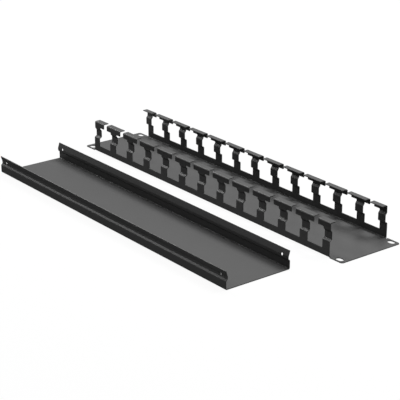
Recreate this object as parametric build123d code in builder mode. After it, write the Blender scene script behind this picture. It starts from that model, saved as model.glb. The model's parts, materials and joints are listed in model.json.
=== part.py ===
from build123d import *
import os

# Cable manager for a 19 inch rack, two rack units high.
# A folded panel carries two rows of T shaped fingers, and a folded cover snaps over the rows.
# The cover is taken off and lies beside the panel on its face, with its flanges up.
# Millimetres. +X runs along the rack opening, +Y up the rack, +Z out of the rack.
# The origin is the centre of the panel's back face, and the whole part lies on that plane.

# Sheet metal, the same for both pieces
sheet = 1.0  # thickness
fold_radius = 0.8  # inside radius of the right-angle folds
joggle_radius = 0.5  # inside radius of the shallow bends in fingers and flanges

# Base of the panel
panel_length = 482.6  # end to end over both ears, the 19 inch rack standard
panel_width = 86.6  # across the ears
ear_length = 19.3
ear_step = 0.4  # how far the ears stand out past the outer face of each row
ear_corner_radius = 3.0
relief_width = 1.2  # notch that ends each fold line beside the ears

# Slots for the rack screws, 465.1 by 76.2 apart as the rack standard asks
slot_end_inset = 8.75  # from the end of the ear to the middle of the slot
slot_side_inset = 5.2  # from the side of the ear to the middle of the slot
slot_length = 9.4
slot_width = 6.4

# Fingers, with the windows punched between them in both rows
window_count = 12
stem_width = 12.0
end_stem_width = 10.8
head_gap = 6.8  # opening between two neighbouring heads
sill_height = 8.4  # solid strip under the windows, from the back face
neck_height = 1.7  # from the top of the shoulder to the underside of the head

# Profile of a finger, a stack of heights from the back face upwards
foot_height = 18.0  # straight foot
ledge_rise = 2.0  # joggle inwards
waist_height = 8.0  # straight waist
shoulder_rise = 2.7  # joggle back outwards
head_height = 8.6  # from the top of the shoulder to the top of the lip
waist_inset = 3.0  # from the outer face of the foot to that of the waist
lip_depth = 7.9  # lip folded inwards along the top of each head

# Cover, flush with the feet and closing over heads and waists
cover_end_gap = 0.8  # how far each end of the cover stops short of the rows
cover_clearance = 0.05  # between the cover's inner faces and the fingers, on each side
snap_grip = 0.7  # how much lower the catch is than the shoulder, so that the flanges stay sprung
recess_height = 2.9  # straight stretch after the catch
flare_rise = 6.6
flare_run = 2.1  # how far the flare leads back out to the free edge
cover_hole_radius = 1.6
cover_hole_inset = 10.0  # from each end of the cover

# Where the cover lies
cover_apart = 51.8  # free space between the ears and the cover
cover_shift = -2.0  # along the rack opening

# Sizes that follow
half_sheet = sheet / 2
fold_line = fold_radius + half_sheet  # radius of a fold on the sheet's centre line
joggle_line = joggle_radius + half_sheet
row_length = panel_length - 2 * (ear_length + relief_width)
window_room = row_length - 2 * end_stem_width - (window_count - 1) * stem_width
window_width = window_room / window_count
pitch = window_width + stem_width
row_width = panel_width - 2 * ear_step  # over the outer faces of the feet
flat_width = row_width - 2 * (fold_radius + sheet)  # base between the two folds
head_inset = sheet + cover_clearance  # from the outer face of the foot to that of the head
shoulder_run = waist_inset - head_inset
ledge_top = foot_height + ledge_rise
shoulder_foot = ledge_top + waist_height
shoulder_top = shoulder_foot + shoulder_rise
row_height = shoulder_top + head_height
head_underside = shoulder_top + neck_height
window_height = head_underside - sill_height
ear_centre = (panel_length - ear_length) / 2
slot_span = panel_length - 2 * slot_end_inset
slot_rise = panel_width - 2 * slot_side_inset
cover_length = row_length - 2 * cover_end_gap
catch_start = sheet + head_height  # level with the top of the shoulder when the cover is on
recess_start = catch_start + shoulder_rise - snap_grip
flare_start = recess_start + recess_height
flange_height = flare_start + flare_rise
cover_centre = -(panel_width + row_width) / 2 - cover_apart

# Centre lines of the sheet across the part, from its middle
foot_line = row_width / 2 - half_sheet  # feet of the fingers, and side walls of the cover
head_line = foot_line - head_inset
waist_line = foot_line - waist_inset
recess_line = foot_line - shoulder_run
lip_edge = head_line + half_sheet - lip_depth


def folded_section(plane, half_corners, half_radii):
    """Draw a folded sheet's section from the corners of its +Y half, listed from edge to base."""
    other_corners = [(-across, up) for across, up in reversed(half_corners)]
    with BuildSketch(plane) as section:
        with BuildLine():
            FilletPolyline(*half_corners, *other_corners, radius=half_radii + half_radii[::-1])
        trace(line_width=sheet)
    return section.sketch


def window_outline():
    """Draw the T shaped opening between two fingers, once for each window."""
    with BuildSketch(Plane.XZ) as windows:
        with GridLocations(pitch, 0, window_count, 1):
            with Locations((0, sill_height)):
                Rectangle(window_width, window_height, align=(Align.CENTER, Align.MIN))
                Rectangle(head_gap, row_height, align=(Align.CENTER, Align.MIN))
    return windows.sketch


# Fingered panel, one folded sheet
finger_corners = [
    (lip_edge, row_height - half_sheet),
    (head_line, row_height - half_sheet),
    (head_line, shoulder_top),
    (waist_line, shoulder_foot),
    (waist_line, ledge_top),
    (foot_line, foot_height),
    (foot_line, half_sheet),
]
finger_radii = [fold_line, joggle_line, joggle_line, joggle_line, joggle_line, fold_line]

with BuildPart() as finger_panel:
    extrude(folded_section(Plane.YZ, finger_corners, finger_radii), amount=row_length / 2, both=True)
    extrude(window_outline(), amount=row_width, both=True, mode=Mode.SUBTRACT)

    with BuildSketch():
        Rectangle(panel_length, flat_width)
        with GridLocations(2 * ear_centre, 0, 2, 1):
            Rectangle(ear_length, panel_width)
    extrude(amount=sheet)

    ear_edges = finger_panel.edges().filter_by(Axis.Z)
    outer_corners = ear_edges.group_by(Axis.X)[0] + ear_edges.group_by(Axis.X)[-1]
    fillet(outer_corners, ear_corner_radius)

    with BuildSketch():
        with GridLocations(slot_span, slot_rise, 2, 2):
            SlotOverall(slot_length, slot_width)
    extrude(amount=sheet, mode=Mode.SUBTRACT)

# Cover, one folded sheet
flange_corners = [
    (recess_line + flare_run, flange_height),
    (recess_line, flare_start),
    (recess_line, recess_start),
    (foot_line, catch_start),
    (foot_line, half_sheet),
]
flange_radii = [joggle_line, joggle_line, joggle_line, fold_line]
cover_section = Plane(origin=(cover_shift, cover_centre, 0), x_dir=(0, 1, 0), z_dir=(1, 0, 0))
cover_elevation = Plane(origin=(cover_shift, cover_centre, 0), x_dir=(1, 0, 0), z_dir=(0, -1, 0))

with BuildPart() as cover:
    extrude(folded_section(cover_section, flange_corners, flange_radii), amount=cover_length / 2, both=True)

    with BuildSketch(cover_elevation):
        with Locations((0, flare_start)):
            with GridLocations(cover_length - 2 * cover_hole_inset, 0, 2, 1):
                Circle(cover_hole_radius)
    extrude(amount=row_width, both=True, mode=Mode.SUBTRACT)

# Write each piece
os.makedirs("parts", exist_ok=True)
finger_panel.part.label = "finger_panel"
cover.part.label = "cover"
export_step(finger_panel.part, "parts/finger_panel.step")
export_step(cover.part, "parts/cover.step")
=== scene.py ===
"""Looks of a cable manager for a 19 inch rack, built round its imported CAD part.

A folded panel carries two rows of T shaped fingers, and its folded cover lies beside it with the flanges up.
Both are made as a sheet metal shop makes them: a flat blank is cut and punched, then folded crease by crease.
Metres, in the frame's own axes: +X along the rack opening, +Y up the rack, +Z out of the rack.
"""

import json
import logging
import math
from collections.abc import Callable, Sequence
from dataclasses import dataclass
from enum import Enum

import bmesh
import bpy
from bmesh.types import BMesh, BMFace
from bpy.types import Material, Mesh, Node, NodeSocket, NodeTree, Object
from mathutils import Matrix, Vector

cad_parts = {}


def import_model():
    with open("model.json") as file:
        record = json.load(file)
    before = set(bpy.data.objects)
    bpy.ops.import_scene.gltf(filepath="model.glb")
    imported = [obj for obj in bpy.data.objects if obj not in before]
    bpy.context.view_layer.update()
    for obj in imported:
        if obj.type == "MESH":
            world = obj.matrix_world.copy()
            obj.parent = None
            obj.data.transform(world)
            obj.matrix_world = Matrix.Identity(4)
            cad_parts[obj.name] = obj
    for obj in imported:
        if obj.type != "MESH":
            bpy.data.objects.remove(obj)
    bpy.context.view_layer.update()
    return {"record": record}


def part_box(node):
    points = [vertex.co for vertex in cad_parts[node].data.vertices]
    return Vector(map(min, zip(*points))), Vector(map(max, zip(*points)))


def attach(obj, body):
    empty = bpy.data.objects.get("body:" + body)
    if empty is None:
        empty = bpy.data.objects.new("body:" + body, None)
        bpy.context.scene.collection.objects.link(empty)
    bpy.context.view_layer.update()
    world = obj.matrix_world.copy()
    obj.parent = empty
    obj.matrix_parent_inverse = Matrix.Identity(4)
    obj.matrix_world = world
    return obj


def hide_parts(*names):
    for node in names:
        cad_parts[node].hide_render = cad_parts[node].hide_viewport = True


MM = 0.001
TINY = 1e-6  # tells two places on the sheet apart
FACET_ANGLE = math.radians(15)  # turn of a bend at each of its creases
LEAST_FACETS = 3  # of a shallow bend
FLAT_ANGLE = math.radians(1)  # turn under which a line drawn on the sheet is no crease
CUT_EDGE_ANGLE = math.radians(50)  # turn over which an edge is a cut one and gets broken
HOLE_SEGMENTS = 6  # straight stretches in a quarter of a round hole or of a slot's end
SEAM = 0.06 * MM  # points closer than this are one, where two quarters of a hole join
SIGNS = (-1, 1)  # one side of a middle line and the other
ALONG = Vector((1, 0, 0))
ACROSS = Vector((0, 1, 0))

log = logging.getLogger("cable_manager")


class Side(Enum):
    """The two halves of a section, as the sign of their Y."""

    LOWER = -1
    UPPER = 1


def gap(place: float, lines: Sequence[float]) -> float:
    """Distance from a place to the nearest of some lines."""
    return min(abs(place - line) for line in lines)


def four_places(along: float, across: float) -> list[Vector]:
    """Places at these distances from the middle, one in each quarter of the sheet."""
    return [Vector((sign_x * along, sign_y * across)) for sign_x in SIGNS for sign_y in SIGNS]


@dataclass(frozen=True)
class SheetStock:
    """The steel sheet that both pieces are folded from."""

    thickness: float = 1.0 * MM
    fold_radius: float = 0.8 * MM  # inside radius of a right-angle fold
    joggle_radius: float = 0.5 * MM  # inside radius of a shallow bend
    punch_radius: float = 0.7 * MM  # rounded corners of the punched windows
    edge_break: float = 0.12 * MM  # rounding of each cut edge under the coat
    edge_facets: int = 2  # of that rounding

    @property
    def half(self) -> float:
        """Half the thickness, from a face to the middle of the sheet."""
        return self.thickness / 2


@dataclass(frozen=True)
class Bend:
    """One bend, as evenly spaced creases on the flat blank."""

    start: float  # distance of the first crease from the blank's middle line
    angle: float  # whole turn of the bend, positive towards +Z
    radius: float  # radius of the sheet's middle surface
    facets: int

    @property
    def facet_length(self) -> float:
        """Width of the flat strip between two creases."""
        return 2 * self.radius * math.sin(abs(self.angle) / (2 * self.facets))

    @property
    def end(self) -> float:
        """Distance of the last crease from the blank's middle line."""
        return self.start + self.facets * self.facet_length

    @property
    def creases(self) -> list[tuple[float, float]]:
        """Divide the bend into creases.

        Returns:
            Each crease as its distance and its own turn, half a step at both ends.
        """
        step = self.angle / self.facets
        turns = [step / 2, *[step] * (self.facets - 1), step / 2]
        return [(self.start + index * self.facet_length, turn) for index, turn in enumerate(turns)]


@dataclass(frozen=True)
class Run:
    """A straight stretch of the section between two bends."""

    start: float  # distance of the foot from the blank's middle line
    foot: Vector
    tip: Vector

    def distance_at(self, height: float) -> float | None:
        """Find a height on this run.

        Args:
            height: height above the back face.

        Returns:
            The distance from the blank's middle line, or None where no upright run reaches the height.
        """
        low, high = sorted((self.foot.y, self.tip.y))
        if abs(self.tip.x - self.foot.x) > TINY or not low <= height <= high:
            return None
        return self.start + abs(height - self.foot.y)


class Section:
    """Half of a folded section, from the middle of the base out to the free edge.

    Args:
        corners: sharp corners of the sheet's middle line, as (across, up), from the middle of the base.
        radii: inside radius of the bend at each corner between the first and the last.
        stock: the sheet.
    """

    def __init__(
        self, corners: Sequence[tuple[float, float]], radii: Sequence[float], stock: SheetStock
    ) -> None:
        """Lay the bends and the straight runs out along the blank."""
        points = [Vector(corner) for corner in corners]
        self.base_height = points[0].y
        self.bends: list[Bend] = []
        self.runs: list[Run] = []
        distance, foot = 0.0, points[0]
        for before, corner, after, radius in zip(points, points[1:], points[2:], radii):
            turn = -(corner - before).angle_signed(after - corner)
            middle_radius = radius + stock.half
            tangent = middle_radius * math.tan(abs(turn) / 2)
            tip = corner - (corner - before).normalized() * tangent
            facets = max(LEAST_FACETS, round(abs(turn) / FACET_ANGLE))
            bend = Bend(distance + (tip - foot).length, turn, middle_radius, facets)
            self.runs.append(Run(distance, foot, tip))
            self.bends.append(bend)
            distance, foot = bend.end, corner + (after - corner).normalized() * tangent
        self.reach = distance + (points[-1] - foot).length
        self.runs.append(Run(distance, foot, points[-1]))

    def distance_at(self, height: float) -> float:
        """Distance on the blank of a height on an upright wall.

        Args:
            height: height above the back face.

        Returns:
            The distance from the blank's middle line.
        """
        found = [run.distance_at(height) for run in self.runs]
        return next(distance for distance in found if distance is not None)


class Blank:
    """A flat piece of sheet, which is cut, punched and folded in turn."""

    def __init__(self, length: float, width: float, height: float) -> None:
        """Start from a plain rectangle.

        Args:
            length: size along X.
            width: size along Y.
            height: height of the sheet's middle surface.
        """
        self.bm: BMesh = bmesh.new()
        scale = Matrix.Diagonal((length, width, 1, 1))
        place = Matrix.Translation((0, 0, height))
        bmesh.ops.create_grid(self.bm, x_segments=1, y_segments=1, size=0.5, matrix=place @ scale)

    def score(
        self, places: Sequence[float], normal: Vector, faces: Callable[[BMFace], bool] | None = None
    ) -> None:
        """Draw straight lines across the sheet.

        Args:
            places: where each line crosses the normal.
            normal: direction at right angles to the lines.
            faces: test that a face passes to be crossed; all faces pass without it.
        """
        for place in places:
            chosen = [face for face in self.bm.faces if faces is None or faces(face)]
            edges = {edge for face in chosen for edge in face.edges}
            verts = {vert for face in chosen for vert in face.verts}
            bmesh.ops.bisect_plane(
                self.bm, geom=[*verts, *edges, *chosen], dist=TINY, plane_co=normal * place, plane_no=normal
            )

    def cut_away(self, waste: Callable[[Vector], bool]) -> None:
        """Remove the faces whose middle is waste."""
        faces = [face for face in self.bm.faces if waste(face.calc_center_median())]
        bmesh.ops.delete(self.bm, geom=faces, context="FACES")

    def clean(self, kept: Sequence[float] = ()) -> None:
        """Remove the drawn lines and leave the outline.

        Args:
            kept: places along X where lines along Y stay.
        """
        verts = [vert for vert in self.bm.verts if all(abs(vert.co.x - place) > TINY for place in kept)]
        free = set(verts)
        edges = [edge for edge in self.bm.edges if free.issuperset(edge.verts)]
        bmesh.ops.dissolve_limit(self.bm, angle_limit=FLAT_ANGLE, verts=verts, edges=edges)

    def round_corners(self, corner: Callable[[Vector], bool], radius: float, segments: int) -> None:
        """Round corners of the outline.

        Args:
            corner: test that the place of a corner passes to be rounded.
            radius: radius of the rounding.
            segments: straight stretches in each rounding.
        """
        verts = [vert for vert in self.bm.verts if corner(vert.co)]
        bmesh.ops.bevel(
            self.bm,
            geom=verts,
            offset=radius,
            offset_type="OFFSET",
            segments=segments,
            profile=0.5,
            affect="VERTICES",
            material=-1,
        )

    def punch(self, middles: Sequence[Vector], length: float, width: float) -> None:
        """Punch slots along X with round ends, or round holes where length and width are equal.

        Args:
            middles: middle of each hole.
            length: size of a hole along X.
            width: size of a hole along Y.
        """
        half_length, half_width = length / 2, width / 2
        columns = sorted({middle.x for middle in middles})
        rows = sorted({middle.y for middle in middles})
        self.score([x + shift for x in columns for shift in (-half_length, 0, half_length)], ALONG)
        self.score([y + shift for y in rows for shift in (-half_width, half_width)], ACROSS)
        self.cut_away(lambda spot: gap(spot.x, columns) < half_length and gap(spot.y, rows) < half_width)
        self.clean(kept=columns)

        def hole_corner(spot: Vector) -> bool:
            """Whether a place is a corner of a hole."""
            along, across = gap(spot.x, columns) - half_length, gap(spot.y, rows) - half_width
            return abs(along) < TINY and abs(across) < TINY

        self.round_corners(hole_corner, half_width, HOLE_SEGMENTS)
        bmesh.ops.remove_doubles(self.bm, verts=self.bm.verts[:], dist=SEAM)

    def fold(self, section: Section, reach: float) -> None:
        """Fold both halves along the section's bends, from the free edge inwards.

        Args:
            section: the bends.
            reach: half the length along X that is folded.
        """
        layer = self.bm.verts.layers.float.new("blank_distance")
        creases = [crease for bend in section.bends for crease in bend.creases]
        self.score([-reach, reach], ALONG)
        for side in Side:
            places = [side.value * distance for distance, _ in creases]
            self.score(places, ACROSS, lambda face: abs(face.calc_center_median().x) < reach)
        for vert in self.bm.verts:
            vert[layer] = vert.co.y
        for side in Side:
            for distance, turn in reversed(creases):
                beyond = [
                    vert
                    for vert in self.bm.verts
                    if side.value * vert[layer] > distance + TINY and abs(vert.co.x) < reach + TINY
                ]
                hinge = Vector((0, side.value * distance, section.base_height))
                turned = Matrix.Rotation(side.value * turn, 3, "X")
                bmesh.ops.rotate(self.bm, verts=beyond, cent=hinge, matrix=turned)
        self.bm.verts.layers.float.remove(layer)

    def to_object(self, name: str, offset: Vector, stock: SheetStock) -> Object:
        """Give the folded surface its thickness and broken edges.

        Args:
            name: name of the piece.
            offset: where its middle goes.
            stock: the sheet.

        Returns:
            The piece, with its place in its mesh.
        """
        bmesh.ops.translate(self.bm, verts=self.bm.verts[:], vec=offset)
        bmesh.ops.recalc_face_normals(self.bm, faces=self.bm.faces[:])
        mesh: Mesh = bpy.data.meshes.new(name)
        self.bm.to_mesh(mesh)
        self.bm.free()
        mesh.shade_smooth()
        piece = bpy.data.objects.new(name, mesh)
        bpy.context.scene.collection.objects.link(piece)
        walls = piece.modifiers.new("sheet_thickness", "SOLIDIFY")
        walls.thickness = stock.thickness
        walls.offset = 0
        walls.use_even_offset = True
        edges = piece.modifiers.new("broken_edges", "BEVEL")
        edges.width = stock.edge_break
        edges.segments = stock.edge_facets
        edges.limit_method = "ANGLE"
        edges.angle_limit = CUT_EDGE_ANGLE
        edges.use_clamp_overlap = False
        shading = piece.modifiers.new("flat_faces", "WEIGHTED_NORMAL")
        shading.keep_sharp = True
        return piece


@dataclass(frozen=True)
class Fingers:
    """Profile and punching of a row of fingers."""

    window_count: int = 12
    stem_width: float = 12.0 * MM
    end_stem_width: float = 10.8 * MM
    head_gap: float = 6.8 * MM
    sill_height: float = 8.4 * MM
    neck_height: float = 1.7 * MM
    foot_height: float = 18.0 * MM
    ledge_rise: float = 2.0 * MM
    waist_height: float = 8.0 * MM
    shoulder_rise: float = 2.7 * MM
    head_height: float = 8.6 * MM
    head_inset: float = 1.05 * MM
    waist_inset: float = 3.0 * MM
    lip_depth: float = 7.9 * MM

    @property
    def ledge_top(self) -> float:
        """Height at which the waist begins."""
        return self.foot_height + self.ledge_rise

    @property
    def shoulder_foot(self) -> float:
        """Height at which the waist ends."""
        return self.ledge_top + self.waist_height

    @property
    def shoulder_top(self) -> float:
        """Height at which the head begins."""
        return self.shoulder_foot + self.shoulder_rise

    @property
    def head_underside(self) -> float:
        """Height of the underside of the head's two arms."""
        return self.shoulder_top + self.neck_height

    @property
    def top(self) -> float:
        """Height of the row."""
        return self.shoulder_top + self.head_height


@dataclass
class FingerPanel:
    """The folded panel with its ears and its two rows of fingers."""

    stock: SheetStock
    length: float
    width: float
    slot_span: float
    slot_rise: float
    slot_length: float
    slot_radius: float
    fingers: Fingers = Fingers()
    ear_length: float = 19.3 * MM
    ear_step: float = 0.4 * MM
    ear_corner_radius: float = 3.0 * MM
    relief_width: float = 1.2 * MM
    ear_segments: int = 6  # of an ear's rounded corner
    window_segments: int = 3  # of a window's rounded corner

    @property
    def row_reach(self) -> float:
        """Half the length of a row."""
        return self.length / 2 - self.ear_length - self.relief_width

    @property
    def row_half_width(self) -> float:
        """From the middle to the outer face of a foot."""
        return self.width / 2 - self.ear_step

    def section(self) -> Section:
        """Lay out the section through a finger.

        Returns:
            The section, from the middle of the base to the edge of the lip.
        """
        stock, fingers = self.stock, self.fingers
        foot = self.row_half_width - stock.half
        head = foot - fingers.head_inset
        waist = foot - fingers.waist_inset
        lip = head + stock.half - fingers.lip_depth
        corners = [
            (0, stock.half),
            (foot, stock.half),
            (foot, fingers.foot_height),
            (waist, fingers.ledge_top),
            (waist, fingers.shoulder_foot),
            (head, fingers.shoulder_top),
            (head, fingers.top - stock.half),
            (lip, fingers.top - stock.half),
        ]
        radii = [stock.fold_radius, *[stock.joggle_radius] * 4, stock.fold_radius]
        return Section(corners, radii, stock)

    def window_places(self) -> tuple[list[float], float]:
        """Share the row out between stems and windows.

        Returns:
            The middle of each window along the row, and half a window's width.
        """
        fingers = self.fingers
        end_stems, stems = 2 * fingers.end_stem_width, (fingers.window_count - 1) * fingers.stem_width
        width = (2 * self.row_reach - end_stems - stems) / fingers.window_count
        pitch = width + fingers.stem_width
        middle = (fingers.window_count - 1) / 2
        return [(index - middle) * pitch for index in range(fingers.window_count)], width / 2

    def build(self) -> Object:
        """Cut, punch and fold the panel.

        Returns:
            The piece, which stands for the frame's panel.
        """
        fingers, section = self.fingers, self.section()
        ear_start = self.row_reach + self.relief_width
        flat_edge = section.bends[0].start
        blank = Blank(self.length, 2 * section.reach, self.stock.half)
        blank.score([sign * place for sign in SIGNS for place in (self.row_reach, ear_start)], ALONG)
        blank.score([sign * place for sign in SIGNS for place in (flat_edge, self.width / 2)], ACROSS)
        blank.cut_away(lambda spot: abs(spot.x) > self.row_reach and abs(spot.y) > self.width / 2)
        blank.cut_away(lambda spot: self.row_reach < abs(spot.x) < ear_start and abs(spot.y) > flat_edge)

        places, half_window = self.window_places()
        sill = section.distance_at(fingers.sill_height)
        underside = section.distance_at(fingers.head_underside)
        half_gap = fingers.head_gap / 2

        def in_window(spot: Vector) -> bool:
            """Whether a place lies in a T shaped window."""
            aside, up = gap(spot.x, places), abs(spot.y)
            return (aside < half_window and sill < up < underside) or (aside < half_gap and up > sill)

        sides = [sign * half for sign in SIGNS for half in (half_gap, half_window)]
        blank.score([sign * height for sign in SIGNS for height in (sill, underside)], ACROSS)
        blank.score([place + side for place in places for side in sides], ALONG)
        blank.cut_away(in_window)
        blank.clean()
        blank.round_corners(
            lambda spot: gap(abs(spot.y), (sill, underside)) < TINY,
            self.stock.punch_radius,
            self.window_segments,
        )
        blank.round_corners(
            lambda spot: abs(spot.x) > self.length / 2 - TINY, self.ear_corner_radius, self.ear_segments
        )
        slots = four_places(self.slot_span / 2, self.slot_rise / 2)
        blank.punch(slots, self.slot_length, 2 * self.slot_radius)
        blank.fold(section, self.row_reach)
        return blank.to_object("folded_finger_panel", Vector(), self.stock)


@dataclass
class ChannelCover:
    """The folded cover, which lies on its face with its flanges up."""

    stock: SheetStock
    fingers: Fingers
    length: float
    row_half_width: float
    middle: Vector
    snap_grip: float = 0.7 * MM
    recess_height: float = 2.9 * MM
    flare_rise: float = 6.6 * MM
    flare_run: float = 2.1 * MM
    hole_radius: float = 1.6 * MM
    hole_inset: float = 10.0 * MM

    def section(self) -> Section:
        """Lay out the section through a flange.

        Returns:
            The section, from the middle of the face to the flared edge.
        """
        stock, fingers = self.stock, self.fingers
        wall = self.row_half_width - stock.half
        recess = wall - (fingers.waist_inset - fingers.head_inset)
        catch_start = stock.thickness + fingers.head_height
        recess_start = catch_start + fingers.shoulder_rise - self.snap_grip
        flare_start = recess_start + self.recess_height
        corners = [
            (0, stock.half),
            (wall, stock.half),
            (wall, catch_start),
            (recess, recess_start),
            (recess, flare_start),
            (recess + self.flare_run, flare_start + self.flare_rise),
        ]
        return Section(corners, [stock.fold_radius, *[stock.joggle_radius] * 3], stock)

    def build(self) -> Object:
        """Cut, punch and fold the cover.

        Returns:
            The piece, which stands for the frame's cover.
        """
        section = self.section()
        blank = Blank(self.length, 2 * section.reach, self.stock.half)
        flare_bend = section.bends[-1]
        hole_up = (flare_bend.start + flare_bend.end) / 2
        hole_along = self.length / 2 - self.hole_inset
        blank.punch(four_places(hole_along, hole_up), 2 * self.hole_radius, 2 * self.hole_radius)
        blank.fold(section, self.length / 2)
        return blank.to_object("folded_cover", self.middle, self.stock)


@dataclass(frozen=True)
class PowderCoat:
    """Matt black powder coat with a fine grain and faint clouds."""

    name: str = "black_powder_coat"
    dark: tuple[float, float, float] = (0.106, 0.106, 0.106)
    light: tuple[float, float, float] = (0.114, 0.114, 0.114)
    roughness: tuple[float, float] = (0.26, 0.32)
    metallic: float = 0.13
    edge_tint: float = 0.5  # keeps the sheen even, also where the sheet is seen nearly edge on
    grain_scale: float = 1400.0  # per metre
    grain_depth: float = 0.045 * MM
    cloud_scale: float = 18.0  # per metre
    noise_detail: float = 3.0

    def material(self) -> Material:
        """Build the coat's material.

        Returns:
            The material, driven by Object coordinates.
        """
        coat = bpy.data.materials.new(self.name)
        coat.use_nodes = True
        tree = coat.node_tree
        shader = next(node for node in tree.nodes if node.type == "BSDF_PRINCIPLED")
        shader.inputs["Metallic"].default_value = self.metallic
        shader.inputs["Specular IOR Level"].default_value = 0.0
        shader.inputs["Specular Tint"].default_value = (*[self.edge_tint] * 3, 1)
        place = tree.nodes.new("ShaderNodeTexCoord")
        clouds = self.noise(tree, place, self.cloud_scale)
        grain = self.noise(tree, place, self.grain_scale)

        tone = tree.nodes.new("ShaderNodeMix")
        tone.data_type = "RGBA"
        tone.inputs["A"].default_value = (*self.dark, 1)
        tone.inputs["B"].default_value = (*self.light, 1)
        tree.links.new(clouds.outputs["Fac"], tone.inputs["Factor"])
        tree.links.new(tone.outputs["Result"], shader.inputs["Base Color"])

        gloss = tree.nodes.new("ShaderNodeMapRange")
        gloss.inputs["To Min"].default_value, gloss.inputs["To Max"].default_value = self.roughness
        tree.links.new(grain.outputs["Fac"], gloss.inputs["Value"])
        tree.links.new(gloss.outputs["Result"], shader.inputs["Roughness"])

        bump = tree.nodes.new("ShaderNodeBump")
        bump.inputs["Distance"].default_value = self.grain_depth
        tree.links.new(grain.outputs["Fac"], bump.inputs["Height"])
        tree.links.new(bump.outputs["Normal"], shader.inputs["Normal"])
        return coat

    def noise(self, tree: NodeTree, place: Node, scale: float) -> Node:
        """Add a noise on Object coordinates.

        Args:
            tree: the node tree.
            place: the node that gives the coordinates.
            scale: waves in a metre.

        Returns:
            The noise's node.
        """
        noise = tree.nodes.new("ShaderNodeTexNoise")
        noise.inputs["Scale"].default_value = scale
        noise.inputs["Detail"].default_value = self.noise_detail
        tree.links.new(place.outputs["Object"], noise.inputs["Vector"])
        return noise


@dataclass(frozen=True)
class Softbox:
    """A square area lamp that faces the object."""

    name: str
    azimuth: float  # degrees from +X towards +Y
    elevation: float  # degrees above the floor
    distance: float
    size: float
    radiance: float  # of its surface, where 1 is white
    aim_along: float = 0.0  # where it aims, along the rack opening

    def place(self, middle: Vector) -> None:
        """Hang the lamp so that it faces the object.

        Args:
            middle: middle of the object.
        """
        data = bpy.data.lights.new(self.name, "AREA")
        data.shape = "SQUARE"
        data.size = self.size
        data.energy = self.radiance * math.pi * self.size**2
        lamp = bpy.data.objects.new(self.name, data)
        bpy.context.scene.collection.objects.link(lamp)
        level, rise = math.radians(self.azimuth), math.radians(self.elevation)
        towards = Vector((math.cos(level) * math.cos(rise), math.sin(level) * math.cos(rise), math.sin(rise)))
        lamp.location = middle + ALONG * self.aim_along + towards * self.distance
        lamp.rotation_euler = towards.to_track_quat("Z", "Y").to_euler()


@dataclass(frozen=True)
class Studio:
    """A floor and surroundings that look white to the camera and in gloss, and soft lamps."""

    floor_size: float = 12.0
    floor_drop: float = 0.2 * MM  # keeps the floor clear of the object's underside
    floor_tone: float = 0.06  # dark, so that it throws little light back at the object
    floor_white: float = 0.93  # how white the floor looks; its lit paint adds the rest
    backdrop_white: float = 1.0
    middle_across: float = -60.0 * MM  # middle of the object, up the rack
    middle_up: float = 15.0 * MM  # and above its back face
    lamps: tuple[Softbox, ...] = (
        Softbox("back_softbox", azimuth=124, elevation=60, distance=3.2, size=1.2, radiance=11.0),
        Softbox(
            "near_softbox", azimuth=84, elevation=59, distance=1.25, size=0.45, radiance=15.5, aim_along=0.3
        ),
        Softbox("side_softbox", azimuth=179, elevation=42, distance=5.0, size=1.4, radiance=25.8),
        Softbox("front_softbox", azimuth=207, elevation=31, distance=5.0, size=1.25, radiance=9.4),
    )

    def build(self) -> None:
        """Make the floor, the surroundings and the lamps."""
        middle = Vector((0, self.middle_across, self.middle_up))
        self.make_floor()
        self.make_world()
        for lamp in self.lamps:
            lamp.place(middle)
            log.info("lamp %s", lamp.name)

    def make_floor(self) -> None:
        """Lay a floor that looks white to the camera and in gloss, and keeps the object's shadow."""
        bm = bmesh.new()
        place = Matrix.Translation((0, 0, -self.floor_drop))
        bmesh.ops.create_grid(bm, x_segments=1, y_segments=1, size=self.floor_size / 2, matrix=place)
        mesh = bpy.data.meshes.new("studio_floor")
        bm.to_mesh(mesh)
        bm.free()
        floor = bpy.data.objects.new("studio_floor", mesh)
        bpy.context.scene.collection.objects.link(floor)
        paint = bpy.data.materials.new("floor_paint")
        paint.use_nodes = True
        tree = paint.node_tree
        shader = next(node for node in tree.nodes if node.type == "BSDF_PRINCIPLED")
        shader.inputs["Base Color"].default_value = (*[self.floor_tone] * 3, 1)
        shader.inputs["Roughness"].default_value = 1.0
        shader.inputs["Specular IOR Level"].default_value = 0.0
        shader.inputs["Emission Color"].default_value = (1, 1, 1, 1)
        tree.links.new(seen_white(tree, self.floor_white), shader.inputs["Emission Strength"])
        mesh.materials.append(paint)

    def make_world(self) -> None:
        """Surround the scene with white, seen by the camera, in gloss and through glass alone."""
        world = bpy.data.worlds.new("studio")
        bpy.context.scene.world = world
        world.use_nodes = True
        tree = world.node_tree
        background = next(node for node in tree.nodes if node.type == "BACKGROUND")
        background.inputs["Color"].default_value = (1, 1, 1, 1)
        tree.links.new(seen_white(tree, self.backdrop_white), background.inputs["Strength"])


def seen_white(tree: NodeTree, strength: float) -> NodeSocket:
    """Add the test for rays from the camera, from gloss and through glass.

    Args:
        tree: the node tree.
        strength: value for those rays; other rays get none.

    Returns:
        The socket that holds the value.
    """
    path = tree.nodes.new("ShaderNodeLightPath")
    seen = path.outputs["Is Camera Ray"]
    for name in ("Is Glossy Ray", "Is Transmission Ray"):
        larger = tree.nodes.new("ShaderNodeMath")
        larger.operation = "MAXIMUM"
        tree.links.new(seen, larger.inputs[0])
        tree.links.new(path.outputs[name], larger.inputs[1])
        seen = larger.outputs[0]
    scaled: Node = tree.nodes.new("ShaderNodeMath")
    scaled.operation = "MULTIPLY"
    scaled.inputs[1].default_value = strength
    tree.links.new(seen, scaled.inputs[0])
    return scaled.outputs[0]


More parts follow.
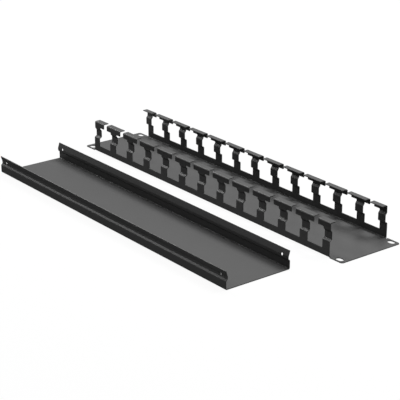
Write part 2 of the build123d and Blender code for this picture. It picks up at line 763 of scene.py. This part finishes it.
@dataclass(frozen=True)
class Viewpoint:
    """The camera at the photograph's viewing angle."""

    azimuth: float = 52.08  # degrees round from -Y towards +X
    elevation: float = 21.08
    distance: float = 1.66327
    aside: float = -0.03427  # aim from the origin, along the picture
    up: float = -0.01112  # and up the picture
    focal_pixels: float = 1396.6
    picture_pixels: int = 400
    sensor_width: float = 36.0  # millimetres, as the lens is
    near_clip: float = 0.05

    def build(self) -> None:
        """Place the camera and make it the scene's own."""
        level, rise = math.radians(self.azimuth), math.radians(self.elevation)
        back = Vector((math.sin(level) * math.cos(rise), -math.cos(level) * math.cos(rise), math.sin(rise)))
        turn = back.to_track_quat("Z", "Y")
        aim = turn @ Vector((self.aside, self.up, 0))
        data = bpy.data.cameras.new("camera")
        data.sensor_width = self.sensor_width
        data.lens = self.sensor_width * self.focal_pixels / self.picture_pixels
        data.clip_start = self.near_clip
        camera = bpy.data.objects.new("camera", data)
        bpy.context.scene.collection.objects.link(camera)
        camera.location = aim + back * self.distance
        camera.rotation_euler = turn.to_euler()
        bpy.context.scene.camera = camera


def dress(piece: Object, node: str, coat: Material) -> None:
    """Coat a piece and let it stand for its CAD node.

    Args:
        piece: the new piece.
        node: name of the CAD node.
        coat: its material.
    """
    piece.data.materials.append(coat)
    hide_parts(node)
    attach(piece, "root")
    log.info("piece %s stands for %s, %d faces", piece.name, node, len(piece.data.polygons))


def main() -> None:
    """Build both pieces round the frame, and the studio they are seen in."""
    logging.basicConfig(level=logging.INFO, format="%(message)s")
    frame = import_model()
    slots = next(mount["dims"] for mount in frame["record"]["mounts"] if mount["name"] == "rack_slots")
    panel_low, panel_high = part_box("finger_panel")
    cover_low, cover_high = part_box("cover")

    stock = SheetStock()
    panel = FingerPanel(
        stock=stock,
        length=panel_high.x - panel_low.x,
        width=panel_high.y - panel_low.y,
        slot_span=slots["spacing_x_mm"] * MM,
        slot_rise=slots["spacing_y_mm"] * MM,
        slot_length=slots["slot_length_mm"] * MM,
        slot_radius=slots["hole_r_mm"] * MM,
    )
    cover = ChannelCover(
        stock=stock,
        fingers=panel.fingers,
        length=cover_high.x - cover_low.x,
        row_half_width=panel.row_half_width,
        middle=Vector(((cover_low.x + cover_high.x) / 2, (cover_low.y + cover_high.y) / 2, 0)),
    )
    coat = PowderCoat().material()
    dress(panel.build(), "finger_panel", coat)
    dress(cover.build(), "cover", coat)

    Studio().build()
    Viewpoint().build()
    bpy.context.scene.view_settings.view_transform = "Standard"


if __name__ == "__main__":
    main()
